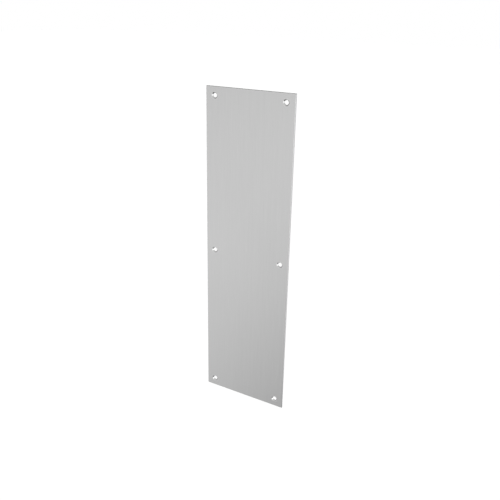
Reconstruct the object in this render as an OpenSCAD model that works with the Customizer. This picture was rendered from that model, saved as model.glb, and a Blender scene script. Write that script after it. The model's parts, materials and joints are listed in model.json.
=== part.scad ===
/* [Plate] */
// Width of the plate, across the door
plate_w = 100; // [60:5:200]
// Height of the plate, up the door
plate_h = 350; // [200:10:900]
// Thickness of the sheet
sheet_t = 1.5; // [1.2:0.1:3]
// Radius of the four corners
corner_r = 0.6; // [0.5:0.1:3]
// Width of the chamfer that deburring leaves round the front face
edge_break = 0.4; // [0.1:0.05:0.5]

/* [Screw holes] */
// Diameter of the screw's clearance hole
hole_d = 4.4; // [3.5:0.1:5.5]
// Included angle of the countersink
sink_angle = 90; // [82:1:90]
// Thickness left at the back, below the countersink
land_t = 0.4; // [0.1:0.05:0.5]
// Distance from the long edges to the hole centres
side_inset = 10; // [8:0.5:20]
// Distance from the short edges to the hole centres
end_inset = 9; // [8:0.5:20]

/* [Hidden] */
$fn = 64;
// Depth of the countersink, and its radius where it meets the front face
sink_depth = sheet_t - land_t;
sink_r = hole_d / 2 + sink_depth * tan(sink_angle / 2);
// How far the cutting shapes run past the faces they cut
overcut = 1;
// Hole centres, from the middle of the plate
hole_x = plate_w / 2 - side_inset;
hole_z = plate_h / 2 - end_inset;

// The origin is the middle of the back face. The sheet stands up along +Z and its front looks towards -Y.

// A shape drawn flat, with its thickness along +Z, stood up so that its thickness runs towards -Y
module stand_up() {
    rotate([90, 0, 0]) children();
}

// Rectangle with quarter-round corners, centred
module rounded_rectangle(w, h, r) {
    square([w - 2 * r, h], center = true);
    square([w, h - 2 * r], center = true);
    for (x = [-1, 1], y = [-1, 1])
        translate([x * (w / 2 - r), y * (h / 2 - r)]) circle(r);
}

// Bar of the given length along Y, as thick as the sheet, with both top edges chamfered
module chamfered_bar(w, length) {
    rotate([90, 0, 0])
        linear_extrude(length, center = true)
            polygon([
                [-w / 2, 0], [w / 2, 0],
                [w / 2, sheet_t - edge_break], [w / 2 - edge_break, sheet_t],
                [edge_break - w / 2, sheet_t], [-w / 2, sheet_t - edge_break]
            ]);
}

// The blank: the rounded outline, with its front edges chamfered both ways
module blank() {
    intersection() {
        linear_extrude(sheet_t) rounded_rectangle(plate_w, plate_h, corner_r);
        chamfered_bar(plate_w, plate_h);
        rotate([0, 0, 90]) chamfered_bar(plate_h, plate_w);
    }
}

// One countersunk screw hole, cut from the front
module screw_hole() {
    translate([0, 0, -overcut]) cylinder(h = sheet_t + 2 * overcut, d = hole_d);
    translate([0, 0, land_t])
        cylinder(
            h = sink_depth + overcut,
            r1 = hole_d / 2,
            r2 = sink_r + overcut * tan(sink_angle / 2)
        );
}

// The plate: one flat sheet with three screw holes down each long edge
module plate() {
    color("silver")
        stand_up()
            difference() {
                blank();
                for (x = [-1, 1], z = [-1, 0, 1])
                    translate([x * hole_x, z * hole_z, 0]) screw_hole();
            }
}

plate();
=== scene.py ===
"""The kick plate's looks: one satin steel sheet with six countersunk holes, built round the CAD plate."""

import json
import math

import bmesh
import bpy
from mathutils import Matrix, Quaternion, Vector


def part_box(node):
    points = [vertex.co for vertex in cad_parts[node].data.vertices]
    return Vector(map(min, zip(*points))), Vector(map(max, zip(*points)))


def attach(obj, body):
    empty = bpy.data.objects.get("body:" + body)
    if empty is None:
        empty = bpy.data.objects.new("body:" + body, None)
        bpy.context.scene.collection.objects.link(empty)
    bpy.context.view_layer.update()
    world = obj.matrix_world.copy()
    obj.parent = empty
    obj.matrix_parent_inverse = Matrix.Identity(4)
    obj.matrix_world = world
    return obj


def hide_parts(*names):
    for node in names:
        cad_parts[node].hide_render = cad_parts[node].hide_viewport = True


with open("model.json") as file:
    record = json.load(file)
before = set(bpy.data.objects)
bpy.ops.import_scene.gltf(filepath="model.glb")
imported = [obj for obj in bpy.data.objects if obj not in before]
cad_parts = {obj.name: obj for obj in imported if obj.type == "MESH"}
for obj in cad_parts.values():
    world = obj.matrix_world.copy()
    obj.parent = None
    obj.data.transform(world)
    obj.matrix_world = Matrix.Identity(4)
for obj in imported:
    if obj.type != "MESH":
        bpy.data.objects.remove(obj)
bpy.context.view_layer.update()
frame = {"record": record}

MM = 0.001

# ---- Sizes, in metres. The plate stands up along Z and its front face looks towards -Y. ----
LOW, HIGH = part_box("plate")
HALF_W, HALF_H = HIGH.x, HIGH.z
FRONT, BACK = LOW.y, HIGH.y
HOLES = next(m for m in frame["record"]["mounts"] if m["name"] == "corner_screw_holes")["dims"]
HOLE_R = HOLES["hole_r_mm"] * MM
HOLE_X = HOLES["spacing_x_mm"] * MM / 2
HOLE_Z = HOLES["spacing_y_mm"] * MM / 2

CORNER_R = 0.6 * MM  # the outline's four corners
FRONT_ROUND = 0.5 * MM  # edges softened by deburring, on the front
BACK_ROUND = 0.1 * MM  # and on the back
LAND = 0.4 * MM  # thickness left below each countersink
SINK_R = HOLE_R + (BACK - FRONT - LAND)  # a 90 degree countersink, where it meets the front face
RIM_ROUND = 0.15 * MM  # soft edge where the countersink meets the front face
THROAT_ROUND = 0.05 * MM  # soft edges at the hole's narrowest
FLAT_STRIP = 0.05 * MM
MARGIN = FRONT_ROUND + FLAT_STRIP  # reach of the strips beside the soft edges, which has to pass any rounding

HOLE_STEPS = 72  # sides of each hole's circle
CORNER_STEPS = 6  # sides of each of the outline's corners
ROUND_STEPS = 5  # sides of each soft edge
EDGE_SPACING = 8 * MM  # between points along the outline's straight sides
ALONG_AN_AXIS = 0.9999  # the normal of a flat face has one part above this, and that of a curve has none

# ---- The plate's mesh ----
SATIN, CUT, SINK, MILL = range(4)  # material slots: front face, cut edges, countersinks, back face


def softened(path, radii):
    """The path's points, with each inner corner replaced by an arc of its radius."""
    points = [path[0]]
    for before, corner, after, radius in zip(path, path[1:], path[2:], radii):
        back, on = (before - corner).normalized(), (after - corner).normalized()
        half = back.angle(on) / 2
        centre = corner + (back + on).normalized() * (radius / math.sin(half))
        start = corner + back * (radius / math.tan(half)) - centre
        end = corner + on * (radius / math.tan(half)) - centre
        points += [centre + radius * start.slerp(end, i / ROUND_STEPS) for i in range(ROUND_STEPS + 1)]
    return points + [path[-1]]


def outline(inset, y):
    """Points round the plate's outline, moved in by inset, at depth y."""
    radius = CORNER_R - inset
    arcs = []
    for quarter, (side, end) in enumerate(((1, 1), (-1, 1), (-1, -1), (1, -1))):
        turns = [math.pi / 2 * (quarter + i / CORNER_STEPS) for i in range(CORNER_STEPS + 1)]
        centre = Vector((side * (HALF_W - CORNER_R), y, end * (HALF_H - CORNER_R)))
        arcs.append([centre + radius * Vector((math.cos(t), 0, math.sin(t))) for t in turns])
    points = []
    for arc, following in zip(arcs, arcs[1:] + arcs[:1]):
        start, end = arc[-1], following[0]
        count = round((end - start).length / EDGE_SPACING)
        points += arc + [start.lerp(end, i / count) for i in range(1, count)]
    return points


def circle(centre, radius, y):
    """Points round a circle at depth y, about a centre given across and up."""
    turns = [math.tau * i / HOLE_STEPS for i in range(HOLE_STEPS)]
    return [Vector((centre[0] + radius * math.cos(t), y, centre[1] + radius * math.sin(t))) for t in turns]


def strip(bm, loops, slots):
    """Quads between each loop of points and the next, and the first and last loops' vertices."""
    rings = [[bm.verts.new(p) for p in points] for points in loops]
    for ring, following, slot in zip(rings, rings[1:], slots):
        for i in range(len(ring)):
            face = bm.faces.new((ring[i - 1], ring[i], following[i], following[i - 1]))
            face.material_index = slot
            face.smooth = True
    return rings[0], rings[-1]


def fill(bm, rings, slot):
    """Triangles over the flat face between an outline and its holes."""
    edges = [bm.edges.get((ring[i - 1], ring[i])) for ring in rings for i in range(len(ring))]
    made = bmesh.ops.triangle_fill(bm, edges=edges, use_beauty=True)["geom"]
    for face in (g for g in made if isinstance(g, bmesh.types.BMFace)):
        face.material_index = slot
        face.smooth = True


def shading_normals(mesh):
    """Each vertex's normal: that of the flat face it lies on, or else the smooth one of its curve."""
    normals = [vertex.normal.copy() for vertex in mesh.vertices]
    for face in mesh.polygons:
        if max(abs(part) for part in face.normal) > ALONG_AN_AXIS:
            for vertex in face.vertices:
                normals[vertex] = face.normal.copy()
    return normals


def build_plate():
    """The plate as one closed mesh. Rim and bore are its edge's and holes' sections, inwards and through."""
    bm = bmesh.new()
    rim = softened(
        [Vector((MARGIN, FRONT)), Vector((0, FRONT)), Vector((0, BACK)), Vector((MARGIN, BACK))],
        [FRONT_ROUND, BACK_ROUND],
    )
    between_flats = len(rim) - 3
    rim_slots = [SATIN] + [CUT] * between_flats + [MILL]
    front, back = strip(bm, [outline(p.x, p.y) for p in rim], rim_slots)
    fronts, backs = [front], [back]

    bore = softened(
        [
            Vector((SINK_R + MARGIN, FRONT)),
            Vector((SINK_R, FRONT)),
            Vector((HOLE_R, BACK - LAND)),
            Vector((HOLE_R, BACK)),
            Vector((HOLE_R + MARGIN, BACK)),
        ],
        [RIM_ROUND, THROAT_ROUND, THROAT_ROUND],
    )
    between_flats = len(bore) - 3
    bore_slots = [SATIN] + [SINK] * between_flats + [MILL]
    for x in (-HOLE_X, HOLE_X):
        for z in (-HOLE_Z, 0, HOLE_Z):
            front, back = strip(bm, [circle((x, z), p.x, p.y) for p in bore], bore_slots)
            fronts.append(front)
            backs.append(back)
    fill(bm, fronts, SATIN)
    fill(bm, backs, MILL)
    bmesh.ops.recalc_face_normals(bm, faces=bm.faces)
    mesh = bpy.data.meshes.new("steel_plate")
    bm.to_mesh(mesh)
    bm.free()
    mesh.normals_split_custom_set_from_vertices(shading_normals(mesh))
    plate = bpy.data.objects.new("steel_plate", mesh)
    bpy.context.scene.collection.objects.link(plate)
    return plate


# ---- Materials ----
EDGE_POLISH = 1.1 * MM  # how far in from the outline the polish of deburring and handling fades
RIM_POLISH = 0.9 * MM  # and how far out from a countersink's rim
BURNISHED = 0.38  # the part of a cut edge's thickness, from the front, that the shears left smooth
BREAK_UP = 0.12  # the part of it over which that smoothness gives way to tears
EASED = FRONT_ROUND / (BACK - FRONT)  # the part of it that deburring rounded over
EASED_FADE = 0.1  # and how far either side of that the edge's lines fade in
CHATTER_ROUND = 9.0  # waves of the countersinking bit's chatter round a hole
CHATTER_OUT = 900.0  # and how fast they turn with the distance out, in radians per metre


class Finish:
    """One steel finish: its nodes, and short ways to add to them. Lengths are metres on the plate."""

    def __init__(self, name):
        self.material = bpy.data.materials.new(name)
        self.material.use_nodes = True
        self.nodes = self.material.node_tree.nodes
        self.links = self.material.node_tree.links
        self.shader = self.nodes["Principled BSDF"]
        self.shader.inputs["Metallic"].default_value = 1
        split = self.node("ShaderNodeSeparateXYZ", self.node("ShaderNodeTexCoord").outputs["Object"])
        self.x, self.y, self.z = split.outputs
        self.bump = None

    def node(self, kind, *values, **settings):
        """A new node with its first inputs linked to sockets or set to numbers."""
        made = self.nodes.new(kind)
        for name, value in settings.items():
            setattr(made, name, value)
        for socket, value in zip(made.inputs, values):
            if isinstance(value, bpy.types.NodeSocket):
                self.links.new(value, socket)
            else:
                socket.default_value = value
        return made

    def calc(self, operation, *values):
        """The result of an operation on sockets and numbers."""
        return self.node("ShaderNodeMath", *values, operation=operation).outputs[0]

    def graded(self, value, start, end, low=0.0, high=1.0):
        """The value's span from start to end eased onto low to high, and level past both ends."""
        made = self.node("ShaderNodeMapRange", value, start, end, low, high)
        made.interpolation_type = "SMOOTHSTEP"
        return made.outputs["Result"]

    def leaning(self, angle):
        """The place on the plate, turned within its face by the angle."""
        cos, sin = math.cos(angle), math.sin(angle)
        x = self.calc("SUBTRACT", self.calc("MULTIPLY", self.x, cos), self.calc("MULTIPLY", self.z, sin))
        z = self.calc("ADD", self.calc("MULTIPLY", self.x, sin), self.calc("MULTIPLY", self.z, cos))
        return x, self.y, z

    def noise(self, sizes, seed, detail=2.0, place=None):
        """Noise from 0 to 1, whose blotches have the given size along each of the place's three values."""
        place = place or (self.x, self.y, self.z)
        scaled = [self.calc("MULTIPLY_ADD", value, 1 / size, seed) for value, size in zip(place, sizes)]
        made = self.node("ShaderNodeTexNoise", self.node("ShaderNodeCombineXYZ", *scaled).outputs[0])
        made.inputs["Scale"].default_value = 1
        made.inputs["Detail"].default_value = detail
        return made.outputs["Fac"]

    def varied(self, base, *layers):
        """The base plus each layer of noise, taken about its middle, times its strength."""
        total = base
        for layer, strength in layers:
            total = self.calc("MULTIPLY_ADD", self.calc("SUBTRACT", layer, 0.5), strength, total)
        return total

    def relief(self, height, depth):
        """Bump of the given depth over what is there already."""
        made = self.node("ShaderNodeBump")
        made.inputs["Strength"].default_value = 1
        made.inputs["Distance"].default_value = depth
        self.links.new(height, made.inputs["Height"])
        if self.bump:
            self.links.new(self.bump, made.inputs["Normal"])
        self.bump = made.outputs["Normal"]

    def near_outline(self):
        """1 on the outline, falling to 0 where its polish ends."""
        from_side = self.calc("SUBTRACT", HALF_W, self.calc("ABSOLUTE", self.x))
        from_end = self.calc("SUBTRACT", HALF_H, self.calc("ABSOLUTE", self.z))
        return self.graded(self.calc("MINIMUM", from_side, from_end), 0.0, EDGE_POLISH, 1.0, 0.0)

    def from_hole(self):
        """Distances across, up, and straight out from the nearest hole's axis."""
        across = self.calc("SUBTRACT", self.calc("ABSOLUTE", self.x), HOLE_X)
        folded = self.calc("ABSOLUTE", self.z)
        up = self.calc("MINIMUM", folded, self.calc("ABSOLUTE", self.calc("SUBTRACT", folded, HOLE_Z)))
        square = self.calc("MULTIPLY_ADD", across, across, self.calc("MULTIPLY", up, up))
        return across, up, self.calc("SQRT", square)

    def wired(self, shade, roughness):
        """The material, with a neutral grey, the roughness and the bump wired to its shader."""
        grey = self.node("ShaderNodeCombineXYZ", shade, shade, shade).outputs[0]
        self.links.new(grey, self.shader.inputs["Base Color"])
        self.links.new(roughness, self.shader.inputs["Roughness"])
        self.links.new(self.bump, self.shader.inputs["Normal"])
        return self.material


def satin_face():
    """Belt-ground along the plate's length: lines of several widths, soft clouds and polished rims."""
    steel = Finish("satin_face")
    fine = steel.noise((0.13 * MM, MM, 18 * MM), 3.1)
    medium = steel.noise((0.5 * MM, MM, 60 * MM), 11.7)
    broad = steel.noise((3.2 * MM, MM, 260 * MM), 27.3)
    clouds = steel.noise((38 * MM, MM, 70 * MM), 41.9, 3.0)
    hairlines = steel.graded(steel.noise((0.22 * MM, MM, 34 * MM), 57.2, 1.0), 0.70, 0.80)
    near_rim = steel.graded(steel.from_hole()[2], SINK_R, SINK_R + RIM_POLISH, 1.0, 0.0)
    polish = steel.calc("MULTIPLY", steel.calc("MAXIMUM", steel.near_outline(), near_rim), medium)

    shade = steel.varied(0.58, (fine, 0.10), (medium, 0.045), (broad, 0.018), (clouds, 0.025))
    shade = steel.calc("MULTIPLY_ADD", hairlines, 0.05, shade)
    shade = steel.calc("MULTIPLY_ADD", polish, 0.06, shade)
    roughness = steel.varied(0.36, (fine, 0.16), (medium, 0.10), (clouds, 0.10))
    roughness = steel.calc("MULTIPLY_ADD", polish, -0.16, roughness)
    steel.relief(fine, 0.004 * MM)
    steel.relief(medium, 0.006 * MM)
    steel.relief(hairlines, 0.002 * MM)
    return steel.wired(shade, roughness)


def cut_edge():
    """Sheared, then eased by hand: rounded and smooth at the front, and torn and lined behind."""
    steel = Finish("cut_edge")
    along = steel.calc("ADD", steel.x, steel.z)
    round_the_edge = (along, steel.y, steel.calc("SUBTRACT", steel.x, steel.z))
    lines = steel.noise((0.16 * MM, 2.4 * MM, 0.16 * MM), 5.3, place=round_the_edge)
    tears = steel.noise((0.5 * MM, 0.3 * MM, 0.5 * MM), 19.1, 4.0, place=round_the_edge)
    waver = steel.noise((2.6 * MM, 9 * MM, 2.6 * MM), 33.7, place=round_the_edge)
    depth = steel.calc("MULTIPLY_ADD", steel.y, 1 / (BACK - FRONT), 1.0)
    torn = steel.graded(steel.varied(depth, (waver, 0.45)), BURNISHED, BURNISHED + BREAK_UP)
    behind_round = steel.graded(depth, EASED - EASED_FADE, EASED + EASED_FADE)
    scored = steel.calc("MULTIPLY", lines, behind_round)

    shade = steel.varied(0.60, (lines, 0.08), (tears, 0.08))
    shade = steel.calc("MULTIPLY_ADD", torn, -0.05, shade)
    roughness = steel.varied(0.27, (lines, 0.12))
    roughness = steel.calc("MULTIPLY_ADD", torn, 0.16, roughness)
    steel.relief(scored, 0.008 * MM)
    steel.relief(steel.calc("MULTIPLY", tears, torn), 0.020 * MM)
    return steel.wired(shade, roughness)


def countersink():
    """Turned by a countersinking bit: fine rings round each hole, and the faint waves of its chatter."""
    steel = Finish("countersink")
    across, up, radius = steel.from_hole()
    on_the_cone = (radius, steel.x, steel.z)
    rings = steel.noise((0.055 * MM, 60 * MM, 60 * MM), 7.9, 1.0, place=on_the_cone)
    bands = steel.noise((0.26 * MM, 30 * MM, 30 * MM), 23.3, 1.0, place=on_the_cone)
    turn = steel.calc("ARCTAN2", up, across)
    phase = steel.calc("MULTIPLY_ADD", turn, CHATTER_ROUND, steel.calc("MULTIPLY", radius, CHATTER_OUT))
    chatter = steel.calc("SINE", phase)

    shade = steel.varied(0.62, (rings, 0.12), (bands, 0.06))
    roughness = steel.varied(0.27, (rings, 0.14), (bands, 0.08))
    steel.relief(rings, 0.006 * MM)
    steel.relief(chatter, 0.003 * MM)
    return steel.wired(shade, roughness)


def mill_back():
    """The sheet's rolled finish: milky and mottled, with long rolling lines and the scuffs of handling."""
    steel = Finish("mill_back")
    pebble = steel.noise((0.35 * MM, MM, 0.45 * MM), 2.3, 3.0)
    rolling = steel.noise((1.6 * MM, MM, 190 * MM), 13.1)
    bands = steel.noise((9 * MM, MM, 420 * MM), 29.8)
    clouds = steel.noise((30 * MM, MM, 42 * MM), 47.4, 3.0)

    shade = steel.varied(0.55, (pebble, 0.05), (rolling, 0.05), (bands, 0.05), (clouds, 0.05))
    roughness = steel.varied(0.31, (pebble, 0.08), (rolling, 0.06), (clouds, 0.14))
    for seed, lean in ((61.3, 0.42), (73.9, -0.75), (88.1, 1.25)):
        scratches = steel.noise((0.16 * MM, MM, 22 * MM), seed, 0.0, place=steel.leaning(lean))
        scuff = steel.graded(scratches, 0.80, 0.86)
        shade = steel.calc("MULTIPLY_ADD", scuff, 0.05, shade)
        roughness = steel.calc("MULTIPLY_ADD", scuff, 0.12, roughness)
    steel.relief(pebble, 0.003 * MM)
    steel.relief(rolling, 0.004 * MM)
    return steel.wired(shade, roughness)


plate = build_plate()
for finish in (satin_face, cut_edge, countersink, mill_back):  # in the order of the material slots
    plate.data.materials.append(finish())
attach(plate, "root")
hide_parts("plate")

# ---- Floor and light ----
FLOOR_DROP = 0.25  # the plate hangs this far above the floor
FLOOR_REACH = 12
PAPER_WHITE = 0.85
FLOOR_GLOW = 0.56  # with the studio's light on it, this makes the floor just white

# The studio's brightness, against how far a direction leans towards an axis: 0 is square to it, and 1 is
# along it. It is brightest a little below the plate's level, and falls away straight down, and up behind the
# plate on the left.
GROUND_AXIS = Vector((0.38, -0.33, -0.865))
GROUND_STOPS = ((0.0, 0.83), (0.40, 1.21), (0.67, 0.53), (0.90, 0.15))
SKY_AXIS = Vector((-0.50, 0.75, 0.43))
SKY_STOPS = ((0.30, 1.0), (0.55, 0.35), (0.90, 0.08))
MOST_BRIGHTNESS = 2  # no stop may pass this

BOX_PLACE = Vector((0.9, -0.75, -0.35))
BOX_SIDE = 1.0
BOX_POWER = 4.5


def build_floor():
    """A sheet of white paper under everything."""
    z = LOW.z - FLOOR_DROP
    corners = [(x * FLOOR_REACH, y * FLOOR_REACH, z) for x, y in ((-1, -1), (1, -1), (1, 1), (-1, 1))]
    mesh = bpy.data.meshes.new("floor")
    mesh.from_pydata(corners, [], [(0, 1, 2, 3)])
    floor = bpy.data.objects.new("floor", mesh)
    bpy.context.scene.collection.objects.link(floor)
    paper = bpy.data.materials.new("white_paper")
    paper.use_nodes = True
    shader = paper.node_tree.nodes["Principled BSDF"]
    shader.inputs["Base Color"].default_value = (PAPER_WHITE, PAPER_WHITE, PAPER_WHITE, 1)
    shader.inputs["Roughness"].default_value = 1
    shader.inputs["Specular IOR Level"].default_value = 0
    shader.inputs["Emission Color"].default_value = (1, 1, 1, 1)
    shader.inputs["Emission Strength"].default_value = FLOOR_GLOW
    mesh.materials.append(paper)
    floor.visible_glossy = False  # the plate mirrors the studio round it, and not this sheet


def build_world():
    """A white backdrop for the camera, and round it a studio whose brightness the steel mirrors."""
    world = bpy.data.worlds.new("studio")
    bpy.context.scene.world = world
    world.use_nodes = True
    nodes, links = world.node_tree.nodes, world.node_tree.links
    direction = nodes.new("ShaderNodeTexCoord").outputs["Generated"]

    def brightness(axis, stops):
        """Brightness by how far a direction leans towards the axis, level past the first and last stops."""
        along = nodes.new("ShaderNodeVectorMath")
        along.operation = "DOT_PRODUCT"
        along.inputs[1].default_value = axis
        links.new(direction, along.inputs[0])
        graded = nodes.new("ShaderNodeFloatCurve")
        graded.mapping.extend = "HORIZONTAL"
        graded.mapping.clip_max_y = MOST_BRIGHTNESS
        points = graded.mapping.curves[0].points
        for i, stop in enumerate(stops):
            point = points[i] if i < len(points) else points.new(*stop)
            point.location = stop
            point.handle_type = "VECTOR"
        graded.mapping.update()
        links.new(along.outputs["Value"], graded.inputs["Value"])
        return graded.outputs["Value"]

    studio = nodes.new("ShaderNodeMath")
    studio.operation = "MULTIPLY"
    links.new(brightness(GROUND_AXIS, GROUND_STOPS), studio.inputs[0])
    links.new(brightness(SKY_AXIS, SKY_STOPS), studio.inputs[1])
    seen = nodes.new("ShaderNodeMath")
    seen.operation = "MAXIMUM"
    links.new(studio.outputs[0], seen.inputs[0])
    links.new(nodes.new("ShaderNodeLightPath").outputs["Is Camera Ray"], seen.inputs[1])
    links.new(seen.outputs[0], nodes["Background"].inputs["Strength"])
    nodes["Background"].inputs["Color"].default_value = (1, 1, 1, 1)


def build_softbox():
    """A square softbox low on the right, in front, which lights the left walls of the countersinks."""
    lamp = bpy.data.lights.new("softbox", "AREA")
    lamp.size = BOX_SIDE
    lamp.energy = BOX_POWER
    box = bpy.data.objects.new("softbox", lamp)
    box.location = BOX_PLACE
    box.rotation_mode = "QUATERNION"
    box.rotation_quaternion = (-BOX_PLACE).to_track_quat("-Z", "Y")
    box.visible_camera = False
    bpy.context.scene.collection.objects.link(box)


build_floor()
build_world()
build_softbox()
bpy.context.scene.view_settings.view_transform = "Standard"

# ---- Camera, at the photograph's viewing angle ----
AIM = Vector((4.27, -1.5, 9.27)) * MM  # the point seen in the middle of the picture
DISTANCE = 646.15 * MM
AZIMUTH, ELEVATION, ROLL = (math.radians(a) for a in (29.42, 21.95, 1.20))
LENS = 43.87  # focal length, in mm
NEAREST_SEEN = 0.05

back = Vector((
    math.sin(AZIMUTH) * math.cos(ELEVATION),
    -math.cos(AZIMUTH) * math.cos(ELEVATION),
    math.sin(ELEVATION),
))
camera = bpy.data.objects.new("camera", bpy.data.cameras.new("camera"))
bpy.context.scene.collection.objects.link(camera)
camera.rotation_mode = "QUATERNION"
camera.location = AIM + back * DISTANCE
camera.rotation_quaternion = Quaternion(back, ROLL) @ (-back).to_track_quat("-Z", "Y")
camera.data.lens = LENS
camera.data.clip_start = NEAREST_SEEN
bpy.context.scene.camera = camera
